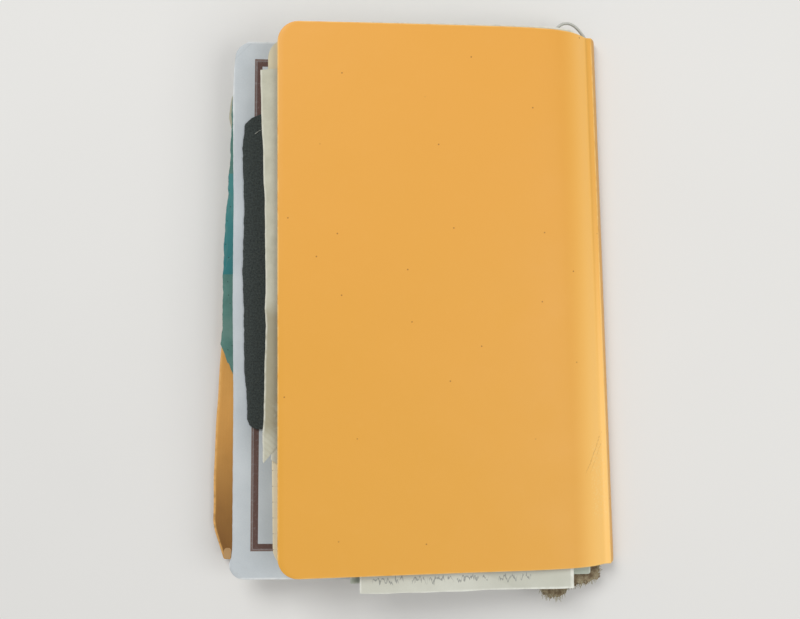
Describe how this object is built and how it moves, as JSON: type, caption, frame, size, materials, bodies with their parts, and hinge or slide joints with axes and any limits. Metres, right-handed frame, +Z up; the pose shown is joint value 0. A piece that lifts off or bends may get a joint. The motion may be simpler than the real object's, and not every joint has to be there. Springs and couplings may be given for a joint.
{
  "type": "pocket notebook",
  "caption": "Softcover pocket notebook, closed, with sewn pages, a cord bookmark and loose papers tucked between its leaves.",
  "frame": {"origin": "centre of the front cover's outer face, which lies on the table", "axes": "+Y towards the head along the longest side, +Z up through the thickness, spine at +X"},
  "size_m": [0.1623, 0.23, 0.0327],
  "materials": {
    "cover": "supple imitation leather, satin, fine grain",
    "endpaper": "smooth ivory endpaper",
    "pages": "uncoated cream writing paper",
    "lining": "open cotton mull",
    "thread": "waxed linen thread",
    "cord": "braided white cord",
    "kraft": "ribbed brown kraft",
    "tissue": "torn, crumpled teal tissue",
    "slip": "plain beige slip",
    "card": "white card with a printed brown frame",
    "patch": "dark slate wool felt",
    "sage": "stained sage paper",
    "blue": "thin blue-green paper",
    "letter": "white letter paper, creased",
    "cloth": "frayed brown cloth"
  },
  "bodies": {
    "front_cover": {"front_cover": "cover", "front_endpaper": "endpaper"},
    "binding": {"spine_cover": "cover", "spine_lining": "lining", "gathering_1": "pages", "sewing_thread_1": "thread", "sewing_thread_2": "thread", "sewing_thread_3": "thread", "sewing_thread_4": "thread"},
    "gathering_2": {"gathering_2": "pages"},
    "gathering_3": {"gathering_3": "pages", "bookmark_cord": "cord"},
    "gathering_4": {"gathering_4": "pages"},
    "gathering_5": {"gathering_5": "pages"},
    "back_cover": {"back_cover": "cover", "back_endpaper": "endpaper"},
    "kraft_envelope": {"kraft_envelope": "kraft"},
    "teal_tissue": {"teal_tissue": "tissue"},
    "beige_slip": {"beige_slip": "slip"},
    "framed_card": {"framed_card": "card"},
    "slate_patch": {"slate_patch": "patch"},
    "sage_sheet": {"sage_sheet": "sage"},
    "blue_sheet": {"blue_sheet": "blue"},
    "letter_sheet": {"letter_sheet": "letter"},
    "frayed_cloth": {"frayed_cloth": "cloth"}
  },
  "joints": [
    {"name": "front_cover_hinge", "type": "hinge", "parent": "front_cover", "child": "binding", "pos_m": [0.0656, 0, 0.00045], "axis": [-0.0381, 0.9993, 0], "range_deg": [0, 100]},
    {"name": "back_cover_hinge", "type": "hinge", "parent": "binding", "child": "back_cover", "pos_m": [0.0636, 0, 0.0079], "axis": [-0.0381, 0.9993, 0], "range_deg": [0, 140]},
    {"name": "gathering_2_turn", "type": "hinge", "parent": "binding", "child": "gathering_2", "pos_m": [0.0636, 0, 0.0079], "axis": [-0.0381, 0.9993, 0], "range_deg": [0, 17.5]},
    {"name": "gathering_3_turn", "type": "hinge", "parent": "binding", "child": "gathering_3", "pos_m": [0.0636, 0, 0.0079], "axis": [-0.0381, 0.9993, 0], "range_deg": [0, 35]},
    {"name": "gathering_4_turn", "type": "hinge", "parent": "binding", "child": "gathering_4", "pos_m": [0.0636, 0, 0.0079], "axis": [-0.0381, 0.9993, 0], "range_deg": [0, 52.5]},
    {"name": "gathering_5_turn", "type": "hinge", "parent": "binding", "child": "gathering_5", "pos_m": [0.0636, 0, 0.0079], "axis": [-0.0381, 0.9993, 0], "range_deg": [0, 70]},
    {"name": "kraft_envelope_slide", "type": "slide", "parent": "binding", "child": "kraft_envelope", "axis": [-1, 0, 0], "range_m": [0, 0.095]},
    {"name": "teal_tissue_slide", "type": "slide", "parent": "gathering_2", "child": "teal_tissue", "axis": [-0.9998, 0, 0.018], "range_m": [0, 0.045]},
    {"name": "beige_slip_slide", "type": "slide", "parent": "gathering_2", "child": "beige_slip", "axis": [-0.9999, 0, 0.015], "range_m": [0, 0.035]},
    {"name": "framed_card_slide", "type": "slide", "parent": "gathering_3", "child": "framed_card", "axis": [-0.9981, 0, 0.0619], "range_m": [0, 0.09]},
    {"name": "slate_patch_slide", "type": "slide", "parent": "framed_card", "child": "slate_patch", "axis": [-0.9984, 0, 0.0559], "range_m": [0, 0.05]},
    {"name": "sage_sheet_slide", "type": "slide", "parent": "gathering_5", "child": "sage_sheet", "axis": [-0.9937, 0, 0.1123], "range_m": [0, 0.03]},
    {"name": "blue_sheet_slide", "type": "slide", "parent": "gathering_4", "child": "blue_sheet", "axis": [0.0381, -0.9993, -0.004], "range_m": [0, 0.04]},
    {"name": "letter_sheet_slide", "type": "slide", "parent": "gathering_5", "child": "letter_sheet", "axis": [0.0381, -0.9992, -0.014], "range_m": [0, 0.04]},
    {"name": "frayed_cloth_slide", "type": "slide", "parent": "gathering_3", "child": "frayed_cloth", "axis": [0, -1, 0.003], "range_m": [0, 0.02]}
  ],
  "couplings": [
    {"joint": "gathering_2_turn", "follows": "back_cover_hinge", "ratio": 0.125},
    {"joint": "gathering_3_turn", "follows": "back_cover_hinge", "ratio": 0.25},
    {"joint": "gathering_4_turn", "follows": "back_cover_hinge", "ratio": 0.375},
    {"joint": "gathering_5_turn", "follows": "back_cover_hinge", "ratio": 0.5}
  ]
}
